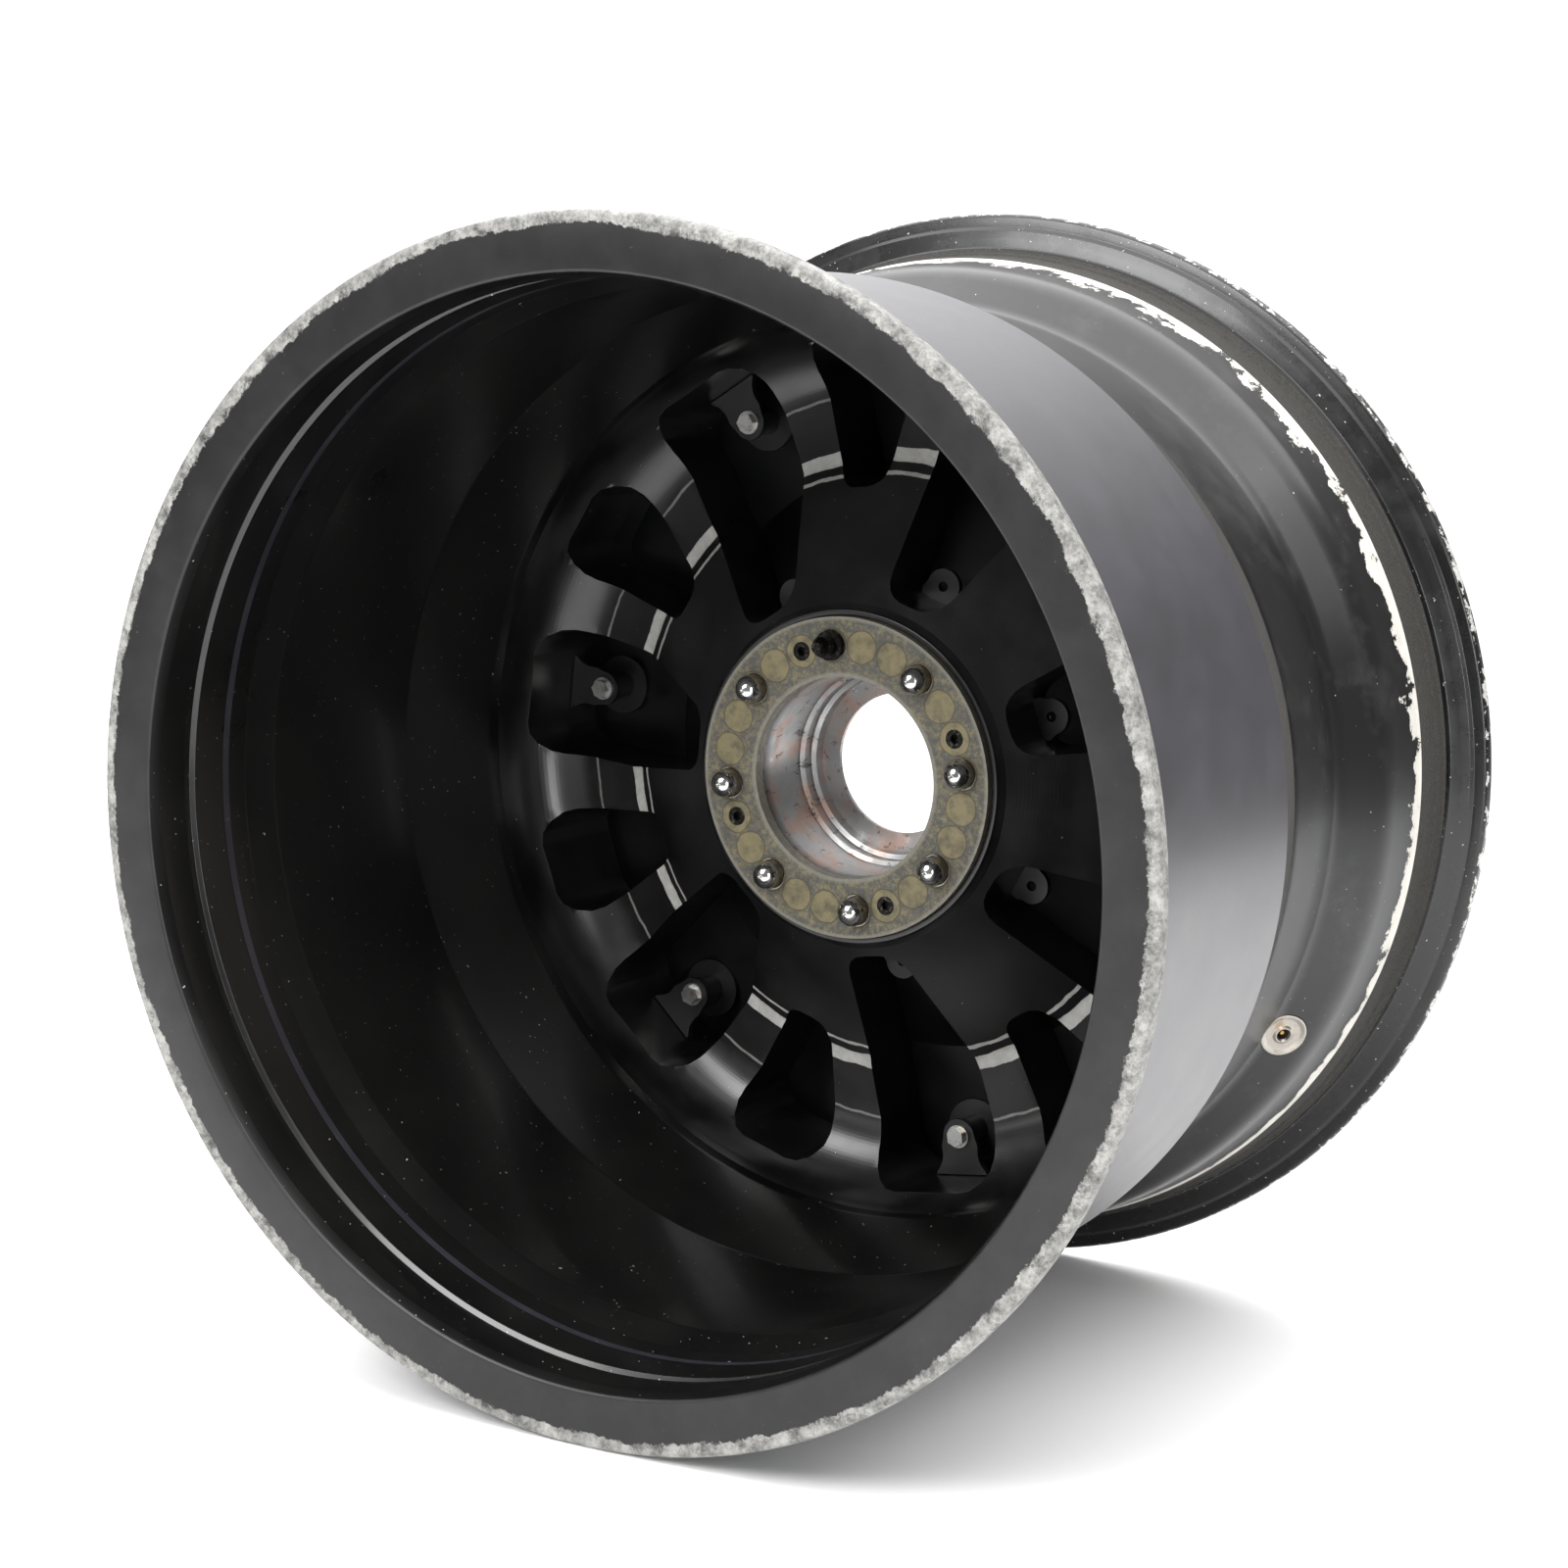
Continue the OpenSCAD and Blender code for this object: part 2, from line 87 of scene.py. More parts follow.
def coordinate(tree, vector, index):  # one part of a vector: 0 across, 1 along the axle, 2 up
    return addNode(tree, "SeparateXYZ", None, {0: vector}).outputs[index]


def fromAxle(tree, place):  # distance from the axle
    across, up = coordinate(tree, place, 0), coordinate(tree, place, 2)
    squares = maths(tree, "MULTIPLY_ADD", across, across, maths(tree, "MULTIPLY", up, up))
    return maths(tree, "SQRT", squares)


def grain(tree, place, size, detail=3.0, roughness=0.55):  # noise with blobs of one size in mm
    return addNode(tree, "TexNoise", None, {"Vector": place, "Scale": 1 / size, "Detail": detail,
                                            "Roughness": roughness}).outputs["Fac"]


def ramp(tree, value, low, high, start=0.0, end=1.0):
    return addNode(tree, "MapRange", {"clamp": True}, {"Value": value, "From Min": low, "From Max": high,
                                                      "To Min": start, "To Max": end}).outputs[0]


def band(tree, value, low, high, edge):  # 1 between two places, with edges of a set width
    rise = ramp(tree, value, low - edge, low + edge)
    fall = ramp(tree, value, high - edge, high + edge, 1.0, 0.0)
    return maths(tree, "MULTIPLY", rise, fall)


def blend(tree, amount, a, b):
    return addNode(tree, "Mix", {"data_type": "RGBA"}, {0: amount, 6: a, 7: b}).outputs[2]


def bumpFrom(tree, shader, height, depthMm):
    bump = addNode(tree, "Bump", None, {"Height": height, "Distance": depthMm * mm, "Strength": 1.0})
    tree.links.new(bump.outputs[0], shader.inputs["Normal"])


def turnedLines(tree, place, pitchMm):  # fine grooves round the axle, from the tool's feed
    return addNode(tree, "TexWave", {"wave_type": "BANDS", "bands_direction": "Y"},
                   {"Vector": place, "Scale": math.pi / (10 * pitchMm), "Distortion": 0.6, "Detail": 2.0,
                    "Detail Scale": 0.3}).outputs["Fac"]


def addDust(tree, place, colour, amount=0.73):  # pale specks a millimetre or so across
    specks = ramp(tree, grain(tree, place, 1.5, 1.0), amount + 0.04, amount + 0.06)
    return blend(tree, specks, colour, hexColour("#b9b8b4"))


wear = {  # where the finishes are worn or stained, and where painted shade darkens the peg bases, in millimetres
    "drumRing": (-119.6, -118.4), "drumScuffs": (-142, -117), "boreMouth": (36, 42), "pegBaseShade": (22.5, 25),
    "chipReach": (1.2, 9.0), "chipRagged": 9.0,  # the lines above are places along the axle, these widths
    "lipChips": (246.2, 246.6), "lipScrape": (240.4, 249.0), "lipPits": (239, 244), "lipFlecks": (228, 238),
    "wideRub": (136.5, 143.0), "thinRub": (131.0, 132.6), "crease": (166.6, 167.8),
    "ringEdge": (69.6, 70.6), "boreEdge": (46.2, 47.4),  # from lipChips on: distances from the axle
}
ringCoat = {"prints": 24, "printRadius": 7.4}  # round prints in the drive ring's coat


def blackBarrelPaint():  # satin black over turned magnesium: deep black, soft streaks, dust
    finish, tree, shader = newFinish("satin black paint, barrel", "#0b0b0c", 0.3, coat=0.35,
                                     coatRoughness=0.12)
    place = placeInMm(tree)
    smudge = grain(tree, place, 70, 3)
    colour = blend(tree, ramp(tree, smudge, 0.4, 0.8), hexColour("#0b0b0b"), hexColour("#151514"))
    joinUp(tree, shader, addDust(tree, place, colour), ramp(tree, smudge, 0.3, 0.75, 0.27, 0.36))
    bumpFrom(tree, shader, turnedLines(tree, place, 1.6), 0.01)
    return finish


def drumPaint():  # satin purple-grey black with fine turned lines and rub rings near the inboard bead
    finish, tree, shader = newFinish("satin turned paint, drum", "#1d1c22", 0.4, coat=0.7, coatRoughness=0.34)
    place = placeInMm(tree)
    along = coordinate(tree, place, 1)
    patch = grain(tree, place, 35, 5, 0.65)
    colour = blend(tree, ramp(tree, patch, 0.35, 0.75), hexColour("#222127"), hexColour("#34323a"))
    wander = maths(tree, "MULTIPLY_ADD", grain(tree, place, 90), 1.2, along)
    ring = band(tree, wander, *wear["drumRing"], 0.25)
    broken = ramp(tree, grain(tree, place, 5, 4, 0.7), 0.35, 0.45)
    scuffs = maths(tree, "MULTIPLY", ramp(tree, grain(tree, place, 3.2, 5, 0.75), 0.66, 0.7),
                   band(tree, wander, *wear["drumScuffs"], 5))
    worn = maths(tree, "MAXIMUM", maths(tree, "MULTIPLY", ring, broken), scuffs)
    colour = blend(tree, maths(tree, "MULTIPLY", worn, 0.7), colour, hexColour("#a9a8ab"))
    joinUp(tree, shader, colour, ramp(tree, patch, 0.3, 0.8, 0.36, 0.5))
    bumpFrom(tree, shader, turnedLines(tree, place, 1.1), 0.02)
    return finish


def gritBand():  # grit-blasted taper and bead seats: rough grey, tiny sparkle
    finish, tree, shader = newFinish("grit-blasted grip band", "#4a4945", 0.85)
    place = placeInMm(tree)
    grit = grain(tree, place, 0.9, 3, 0.8)
    joinUp(tree, shader, blend(tree, ramp(tree, grit, 0.35, 0.7), hexColour("#191817"), hexColour("#403e39")))
    bumpFrom(tree, shader, grit, 0.3)
    return finish


def conePaint():  # smooth black cone, with rub haze and paint chipped off along the bead seat
    finish, tree, shader = newFinish("satin black paint, chipped at the bead", "#0f0f10", 0.36, coat=0.1,
                                     coatRoughness=0.15)
    place = placeInMm(tree)
    along = coordinate(tree, place, 1)
    height = coordinate(tree, place, 2)
    reach = ramp(tree, height, -200, 200, *wear["chipReach"])  # the chipped ring is widest at the top
    ragged = maths(tree, "MULTIPLY", maths(tree, "SUBTRACT", grain(tree, place, 16, 7, 0.72), 0.5),
                   wear["chipRagged"])
    reach = maths(tree, "MULTIPLY", reach, maths(tree, "ADD", ragged, 0.8))
    edge = maths(tree, "SUBTRACT", barrel["coneTo"][0], reach)
    bare = ramp(tree, maths(tree, "SUBTRACT", along, edge), -0.12, 0.12)
    haze = maths(tree, "MULTIPLY", ramp(tree, grain(tree, place, 30, 6, 0.7), 0.52, 0.8), 0.6)
    colour = blend(tree, haze, hexColour("#0c0c0d"), hexColour("#3a3a3b"))
    metal = blend(tree, grain(tree, place, 16, 4, 0.6), hexColour("#a9a59e"), hexColour("#dedbd4"))
    colour = addDust(tree, place, colour, 0.75)
    rough = maths(tree, "MULTIPLY_ADD", haze, 0.15, ramp(tree, bare, 0, 1, 0.32, 0.5))
    joinUp(tree, shader, blend(tree, bare, colour, metal), rough)
    bumpFrom(tree, shader, maths(tree, "SUBTRACT", 1.0, bare), 0.12)
    return finish


def flangePaint():  # gloss black flange with bare chips at the lip
    finish, tree, shader = newFinish("gloss black paint, chipped lip", "#0d0d0e", 0.3, coat=0.15,
                                     coatRoughness=0.1)
    place = placeInMm(tree)
    radius = fromAxle(tree, place)
    wander = maths(tree, "MULTIPLY_ADD", grain(tree, place, 3), 2.0, radius)
    chips = maths(tree, "MULTIPLY", ramp(tree, grain(tree, place, 7, 5, 0.7), 0.53, 0.55),
                  ramp(tree, wander, *wear["lipChips"]))
    haze = ramp(tree, grain(tree, place, 25, 5, 0.7), 0.45, 0.85)
    colour = blend(tree, haze, hexColour("#09090a"), hexColour("#171718"))
    colour = addDust(tree, place, colour, 0.72)
    joinUp(tree, shader, blend(tree, chips, colour, hexColour("#bdbbb7")), ramp(tree, haze, 0, 1, 0.25, 0.42))
    bumpFrom(tree, shader, grain(tree, place, 0.8, 2), 0.02)
    return finish


def scuffedLip():  # inboard flange face: paint scraped to bare magnesium in a ragged, pitted ring
    finish, tree, shader = newFinish("satin black paint, scraped lip", "#121213", 0.42)
    place = placeInMm(tree)
    radius = fromAxle(tree, place)
    slow = maths(tree, "MULTIPLY_ADD", grain(tree, place, 38, 3), 6.0, -3.0)
    fine = maths(tree, "MULTIPLY_ADD", grain(tree, place, 7, 9, 0.8), 9.0, -4.5)
    wander = maths(tree, "ADD", radius, maths(tree, "ADD", slow, fine))
    scraped = band(tree, wander, *wear["lipScrape"], 0.2)
    pits = ramp(tree, grain(tree, place, 9.0, 9, 0.85), 0.53, 0.58, 1.0, 0.0)
    holes = maths(tree, "MAXIMUM", pits, maths(tree, "MULTIPLY", ramp(tree, radius, *wear["lipPits"]), 0.75))
    flecks = maths(tree, "MULTIPLY", ramp(tree, grain(tree, place, 2.4, 5, 0.75), 0.69, 0.71),
                   ramp(tree, radius, *wear["lipFlecks"], 0.0, 0.9))
    bare = maths(tree, "MAXIMUM", maths(tree, "MULTIPLY", scraped, holes), flecks)
    metal = blend(tree, ramp(tree, grain(tree, place, 8, 9, 0.85), 0.36, 0.6), hexColour("#3f3f3d"),
                  hexColour("#a3a29e"))
    haze = ramp(tree, grain(tree, place, 18, 5, 0.7), 0.4, 0.8)
    paint = blend(tree, haze, hexColour("#0d0d0e"), hexColour("#202021"))
    joinUp(tree, shader, blend(tree, bare, paint, metal), ramp(tree, bare, 0, 1, 0.4, 0.55))
    rub = maths(tree, "MULTIPLY", grain(tree, place, 1.2, 4, 0.8), bare)
    bumpFrom(tree, shader, maths(tree, "SUBTRACT", rub, bare), 0.15)
    return finish


def spokePaint():  # satin black spokes, with bare bands rubbed across every tine
    finish, tree, shader = newFinish("satin black paint, rubbed spokes", "#0e0e0f", 0.33, coat=0.3,
                                     coatRoughness=0.2)
    place = placeInMm(tree)
    radius = fromAxle(tree, place)
    wander = maths(tree, "ADD", radius, maths(tree, "MULTIPLY_ADD", grain(tree, place, 9, 3), 2.2, -1.1))
    wide = band(tree, wander, *wear["wideRub"], 0.15)
    thin = band(tree, wander, *wear["thinRub"], 0.12)
    crease = maths(tree, "MULTIPLY", band(tree, wander, *wear["crease"], 0.3), 0.45)
    bare = maths(tree, "MAXIMUM", maths(tree, "MAXIMUM", wide, thin), crease)
    front = coordinate(tree, addNode(tree, "NewGeometry").outputs["Normal"], 1)
    bare = maths(tree, "MULTIPLY", bare, ramp(tree, front, -0.45, -0.35, 1.0, 0.0))  # inboard faces only
    metal = blend(tree, grain(tree, place, 5, 4, 0.7), hexColour("#8d8c88"), hexColour("#dcdbd6"))
    haze = ramp(tree, grain(tree, place, 22, 5, 0.65), 0.4, 0.85)
    paint = blend(tree, haze, hexColour("#0b0b0c"), hexColour("#1d1c1b"))
    paint = addDust(tree, place, paint, 0.77)
    joinUp(tree, shader, blend(tree, bare, paint, metal), ramp(tree, haze, 0, 1, 0.28, 0.42))
    rings = addNode(tree, "TexWave", {"wave_type": "RINGS", "rings_direction": "Y"},
                    {"Vector": place, "Scale": math.pi / (10 * 1.4), "Distortion": 0.3}).outputs["Fac"]
    bumpFrom(tree, shader, rings, 0.012)
    return finish


def coverPaint():  # matt black cover: plain, slightly dusty
    finish, tree, shader = newFinish("matt black moulding", "#101011", 0.42)
    place = placeInMm(tree)
    haze = ramp(tree, grain(tree, place, 25, 5, 0.65), 0.35, 0.85)
    colour = blend(tree, haze, hexColour("#0b0b0c"), hexColour("#1e1e1e"))
    joinUp(tree, shader, colour, ramp(tree, haze, 0, 1, 0.34, 0.5))
    bumpFrom(tree, shader, grain(tree, place, 1.2, 2), 0.02)
    return finish


def hardCoat():  # straw coat on the drive ring, fretted grey between round prints
    pitchRadius, printRadius = pegs["pitchRadius"], ringCoat["printRadius"]
    finish, tree, shader = newFinish("hard-coated aluminium, fretted", "#a79a74", 0.5, metallic=0.35)
    place = placeInMm(tree)
    radius = fromAxle(tree, place)
    angle = maths(tree, "ARCTAN2", coordinate(tree, place, 0), coordinate(tree, place, 2))
    pitch = 2 * math.pi / ringCoat["prints"]
    turn = maths(tree, "DIVIDE", maths(tree, "SUBTRACT", angle, math.radians(pegs["firstStation"])), pitch)
    offset = maths(tree, "SUBTRACT", turn, maths(tree, "ROUND", turn))
    aside = maths(tree, "MULTIPLY", offset, pitch * pitchRadius)
    outward = maths(tree, "SUBTRACT", radius, pitchRadius)
    reach = maths(tree, "SQRT", maths(tree, "ADD", maths(tree, "MULTIPLY", aside, aside),
                                      maths(tree, "MULTIPLY", outward, outward)))
    reach = maths(tree, "ADD", reach, maths(tree, "MULTIPLY_ADD", grain(tree, place, 4, 3), 1.2, -0.6))
    outside = ramp(tree, reach, printRadius - 0.2, printRadius + 0.5)
    rim = band(tree, reach, printRadius - 0.35, printRadius + 0.25, 0.2)
    mottle = grain(tree, place, 2.4, 6, 0.8)
    fret = maths(tree, "MULTIPLY", outside, ramp(tree, mottle, 0.42, 0.54))
    dull = maths(tree, "MULTIPLY", ramp(tree, grain(tree, place, 7, 6, 0.7), 0.42, 0.66), 0.85)
    colour = blend(tree, dull, hexColour("#7d7457"), hexColour("#4f4b3e"))
    colour = blend(tree, maths(tree, "MULTIPLY", fret, 0.75), colour, hexColour("#454a52"))
    colour = blend(tree, maths(tree, "MULTIPLY", rim, 0.7), colour, hexColour("#37332a"))
    edges = maths(tree, "MAXIMUM", ramp(tree, radius, *wear["ringEdge"]),
                  ramp(tree, radius, *wear["boreEdge"], 1.0, 0.0))
    colour = blend(tree, maths(tree, "MULTIPLY", edges, 0.6), colour, hexColour("#8a867b"))
    joinUp(tree, shader, colour, ramp(tree, fret, 0, 1, 0.42, 0.6))
    bumpFrom(tree, shader, maths(tree, "SUBTRACT", mottle, maths(tree, "MULTIPLY", rim, 0.6)), 0.08)
    return finish


def boreMetal():  # machined bore: silver grey with copper tints and dark drag marks
    finish, tree, shader = newFinish("machined bore, copper-stained", "#a3a2a1", 0.36, metallic=0.85)
    place = placeInMm(tree)
    along = coordinate(tree, place, 1)
    tint = ramp(tree, grain(tree, place, 16, 3, 0.6), 0.48, 0.62)
    colour = blend(tree, tint, hexColour("#9a9a9a"), hexColour("#a68f85"))
    squeezed = addNode(tree, "Mapping", None, {"Vector": place, "Scale": (1, 0.22, 1)}).outputs[0]
    drags = ramp(tree, grain(tree, squeezed, 4.5, 5, 0.75), 0.58, 0.64)
    colour = blend(tree, maths(tree, "MULTIPLY", drags, 0.8), colour, hexColour("#3a3836"))
    mouth = ramp(tree, along, *wear["boreMouth"], 1.0, 0.0)
    colour = blend(tree, maths(tree, "MULTIPLY", mouth, 0.75), colour, hexColour("#2c2a29"))
    joinUp(tree, shader, colour, ramp(tree, grain(tree, place, 6), 0.3, 0.7, 0.26, 0.5))
    bumpFrom(tree, shader, turnedLines(tree, place, 0.9), 0.015)
    return finish


def polishedSteel():  # chromed peg noses: bright, with small dark nicks and a painted brown shade and dark reflection at the foot
    finish, tree, shader = newFinish("polished hard chrome", "#c4c3c2", 0.14, metallic=1.0)
    place = placeInMm(tree)
    along = coordinate(tree, place, 1)
    nicks = ramp(tree, grain(tree, place, 1.2, 4, 0.7), 0.62, 0.68)
    # painted shade and dark reflection on the peg's foot, where it goes into the drive ring
    foot = ramp(tree, along, *wear["pegBaseShade"])
    colour = blend(tree, maths(tree, "MULTIPLY", nicks, 0.6), hexColour("#c9c8c6"), hexColour("#4b4846"))
    colour = blend(tree, maths(tree, "MULTIPLY", foot, 0.75), colour, hexColour("#5d5346"))
    joinUp(tree, shader, colour, ramp(tree, nicks, 0, 1, 0.12, 0.35))
    bumpFrom(tree, shader, grain(tree, place, 2.0, 3), 0.05)
    return finish


def blackenedSteel():  # index peg and cap screws: oiled black oxide, rubbed bright on edges
    finish, tree, shader = newFinish("black oxide steel", "#1c1b1a", 0.38, metallic=0.9)
    place = placeInMm(tree)
    rub = ramp(tree, grain(tree, place, 1.6, 4, 0.7), 0.52, 0.72)
    colour = blend(tree, rub, hexColour("#1a1918"), hexColour("#5d5955"))
    joinUp(tree, shader, colour, ramp(tree, rub, 0, 1, 0.42, 0.28))
    return finish


def turnedSteel(name, base, stain):  # valve and bolts: turned steel with a faint rust stain
    finish, tree, shader = newFinish(name, base, 0.32, metallic=1.0)
    place = placeInMm(tree)
    patch = ramp(tree, grain(tree, place, 7, 4, 0.6), 0.52, 0.66)
    colour = blend(tree, maths(tree, "MULTIPLY", patch, 0.5), hexColour(base), hexColour(stain))
    joinUp(tree, shader, colour, ramp(tree, grain(tree, place, 2), 0.3, 0.7, 0.25, 0.42))
    return finish


def sealRubber():  # nitrile ring: matt black
    finish, tree, shader = newFinish("nitrile rubber", "#0c0c0c", 0.7)
    place = placeInMm(tree)
    bumpFrom(tree, shader, grain(tree, place, 0.6), 0.05)
    return finish


def shadeSmooth(mesh, sharp):
    mesh.shade_smooth()
    mesh.set_sharp_from_angle(angle=math.radians(sharp))


def finishMesh(bm, name, finishes, sharp=32.0):
    mesh = bpy.data.meshes.new(name)
    bm.to_mesh(mesh)
    bm.free()
    for finish in finishes:
        mesh.materials.append(finish)
    shadeSmooth(mesh, sharp)
    piece = bpy.data.objects.new(name, mesh)
    bpy.context.scene.collection.objects.link(piece)
    return piece


def outwardFaces(bm):  # turns every face of a closed mesh outward
    bmesh.ops.recalc_face_normals(bm, faces=bm.faces)
    if bm.calc_volume(signed=True) < 0:
        bmesh.ops.reverse_faces(bm, faces=bm.faces)


def copyRound(bm, count, pitch):  # repeats everything in the mesh round the axle
    first = bm.verts[:] + bm.edges[:] + bm.faces[:]
    for i in range(1, count):
        copied = bmesh.ops.duplicate(bm, geom=first)["geom"]
        verts = [v for v in copied if isinstance(v, bmesh.types.BMVert)]
        bmesh.ops.rotate(bm, verts=verts, cent=(0, 0, 0), matrix=Matrix.Rotation(pitch * i, 3, "Y"))


def spinSection(section, steps):  # closed section of (along, radius) in mm, spun round Y
    bm = bmesh.new()
    ring = [bm.verts.new((0, along * mm, radius * mm)) for along, radius in section]
    edges = [bm.edges.new((ring[i], ring[(i + 1) % len(ring)])) for i in range(len(ring))]
    bmesh.ops.spin(bm, geom=ring + edges, cent=(0, 0, 0), axis=(0, 1, 0), dvec=(0, 0, 0), angle=2 * math.pi,
                   steps=steps, use_merge=True, use_duplicate=False)
    bmesh.ops.remove_doubles(bm, verts=bm.verts, dist=1e-6)
    outwardFaces(bm)
    return bm


def roundCorner(before, corner, after, size):  # points that round one corner
    steps = 4
    corner = Vector(corner)
    u = (Vector(before) - corner).normalized()
    w = (Vector(after) - corner).normalized()
    half = u.angle(w) / 2
    reach = size / math.tan(half)
    middle = corner + (u + w).normalized() * size / math.sin(half)
    start = corner + u * reach - middle
    end = corner + w * reach - middle
    return [tuple(middle + start.slerp(end, i / steps) * size) for i in range(steps + 1)]


def roundedLoop(corners):  # corners of (x, y, size): each is rounded to its size
    points = []
    for i, (x, y, size) in enumerate(corners):
        before = corners[i - 1][:2]
        after = corners[(i + 1) % len(corners)][:2]
        points += roundCorner(before, (x, y), after, size) if size else [(x, y)]
    return points


def applyCut(piece, cutter):
    cut = piece.modifiers.new("cut", "BOOLEAN")
    cut.operation = "DIFFERENCE"
    cut.object = cutter
    cut.solver = "MANIFOLD"
    bpy.context.view_layer.update()
    graph = bpy.context.evaluated_depsgraph_get()
    mesh = bpy.data.meshes.new_from_object(piece.evaluated_get(graph))
    piece.modifiers.clear()
    piece.data = mesh
    bpy.data.objects.remove(cutter)


def ridesOn(body, piece, slotName, *replaced):
    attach(piece, body)
    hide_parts(*replaced)
    return piece


barrel = {
    "steps": 288,
    "halfWidth": 174.5, "flangeRadius": 246.0, "flangeWidth": 9.5, "seatRadius": 228.6,
    "drumRadius": 221.0, "wellRadius": 206.0, "innerRadius": 216.0, "wellInner": 201.0,
    "taperFrom": 2.0, "wellFrom": 46.0, "wellTo": 92.0, "flankTo": (110.0, 222.2), "coneTo": (139.0, 225.0),
    "lipRound": 2.2, "wellRound": 26.0, "flankRound": 12.0, "ledgeRound": 22.0,
    "lipInner": 222.5, "scrapedFrom": 222.0, "paintedFrom": (22, 223.8), "gritEnd": 9, "sharp": 28,
}


def halfWall(along):  # radius halfway through the barrel's wall
    marks = [(-175, 222.6), (-168, 224.5), (-120, 223.2), (-100, 218.5), (2, 218.5), (46, 203.5), (92, 203.5),
             (110, 218), (140, 222), (175, 225)]
    for (a, low), (b, high) in zip(marks, marks[1:]):
        if along <= b:
            return low + (high - low) * (along - a) / (b - a)
    return marks[-1][1]


def barrelFinish(along, radius):  # which finish a place on the barrel has
    b = barrel
    cone = b["coneTo"][0]
    paintedAlong, paintedRadius = b["paintedFrom"]
    if along < b["flangeWidth"] - b["halfWidth"] + 0.2 and radius > b["scrapedFrom"]:
        return "lip"
    if along > cone + paintedAlong and radius > paintedRadius:
        return "flange"
    if radius < halfWall(along):
        return "inside"
    if along < b["taperFrom"] - 0.2:
        return "drum"
    if along < b["wellFrom"] - b["gritEnd"]:
        return "grit"
    return "cone" if along < cone + 0.6 else "grit"


def buildBarrel():
    b = barrel
    w = b["halfWidth"]
    seat = w - b["flangeWidth"]
    lip = b["flangeRadius"]
    cone, coneRadius = b["coneTo"]
    section = [  # (along, radius, rounding): lip and drum, well and cone, outboard seat, then back inside
        (-w, b["lipInner"], 1.6), (-w, lip, b["lipRound"]), (-seat - 1.8, lip, b["lipRound"]),
        (-seat, 238.0, 3.0), (-seat, b["seatRadius"] + 0.4, 1.6), (-seat + 24, b["seatRadius"] - 2.2, 1.2),
        (-seat + 27, b["seatRadius"] - 0.8, 1.0), (-seat + 30, b["seatRadius"] - 2.4, 1.0),
        (-seat + 37, b["drumRadius"], 3.0), (b["taperFrom"], b["drumRadius"], 0.8),
        (b["wellFrom"], b["wellRadius"], b["wellRound"]), (b["wellTo"], b["wellRadius"], b["flankRound"]),
        (*b["flankTo"], b["ledgeRound"]), (cone, coneRadius, 0.5), (cone + 1.2, coneRadius + 1.0, 0.5),
        (cone + 15, 227.0, 0.5), (cone + 16, 228.2, 0.4), (cone + 20, 228.4, 0.4), (cone + 21, 229.6, 0.4),
        (cone + 24, 230.4, 1.0), (seat - 0.5, 235.0, 1.0), (seat + 0.8, 238.6, 1.2), (seat + 2.0, 240.2, 1.0),
        (seat + 2.6, lip, b["lipRound"]), (w, lip, b["lipRound"]), (w, 224.0, 1.6),
        (w - 5, b["lipInner"], 0.8), (w - 22, 222.0, 1.0), (w - 24, 219.6, 0.8), (141, 219.0, 2.0),
        (128, 217.2, 2.0), (112, 201.5, 1.0),
        (b["wellFrom"] - 2, b["wellInner"], 8.0), (b["taperFrom"] - 3, b["innerRadius"], 6.0),
        (-98, b["innerRadius"], 5.0), (-112, 220.8, 4.0), (-145.0, 221.4, 0.5), (-146.2, 223.6, 0.4),
        (-150.6, 223.6, 0.4), (-152.0, 221.0, 0.5), (-168.5, 220.6, 2.4),
    ]
    finishes = {"lip": scuffedLip(), "flange": flangePaint(), "inside": blackBarrelPaint(),
                "drum": drumPaint(), "grit": gritBand(), "cone": conePaint()}
    order = list(finishes)
    bm = spinSection(roundedLoop(section), b["steps"])
    for face in bm.faces:
        middle = face.calc_center_median()
        place = barrelFinish(middle.y / mm, math.hypot(middle.x, middle.z) / mm)
        face.material_index = order.index(place)
    piece = finishMesh(bm, "barrelShell", finishes.values(), b["sharp"])
    applyCut(piece, valveHole())
    shadeSmooth(piece.data, b["sharp"])
    return ridesOn("wheel", piece, "black_paint",
                   "inboard_flange", "rim_drum", "rim_barrel", "outboard_flange")


valve = {
    "station": 120.0, "along": 98.0, "headRadius": 10.5, "hole": 2.6, "shankRadius": 5.0, "length": 37.0,
    "spotDepth": 4.0, "gap": 0.3, "cutterDepth": 14.0,
}


def valveMatrix():  # turns the Y axis to the valve's own, away from the axle
    v = valve
    (y1, r1), (y2, r2) = (barrel["wellTo"], barrel["wellRadius"]), barrel["flankTo"]
    slope = math.atan2(r2 - r1, y2 - y1)
    radius = r1 + (v["along"] - y1) * math.tan(slope)
    turn = Matrix.Rotation(math.radians(v["station"]), 4, "Y")
    shift = Matrix.Translation((0, v["along"] * mm, radius * mm))
    return turn @ shift @ Matrix.Rotation(math.pi / 2 + slope, 4, "X")


def valveHole():  # cutter for the spot face
    v = valve
    bm = bmesh.new()
    radius = (v["headRadius"] + v["gap"]) * mm
    depth = v["cutterDepth"]
    shift = Matrix.Translation((0, (depth / 2 - v["spotDepth"]) * mm, 0))
    lying = shift @ Matrix.Rotation(math.pi / 2, 4, "X")
    bmesh.ops.create_cone(bm, cap_ends=True, segments=64, radius1=radius, radius2=radius, depth=depth * mm,
                          matrix=lying)
    outwardFaces(bm)
    bmesh.ops.transform(bm, matrix=valveMatrix(), verts=bm.verts)
    return finishMesh(bm, "spotFace", [])


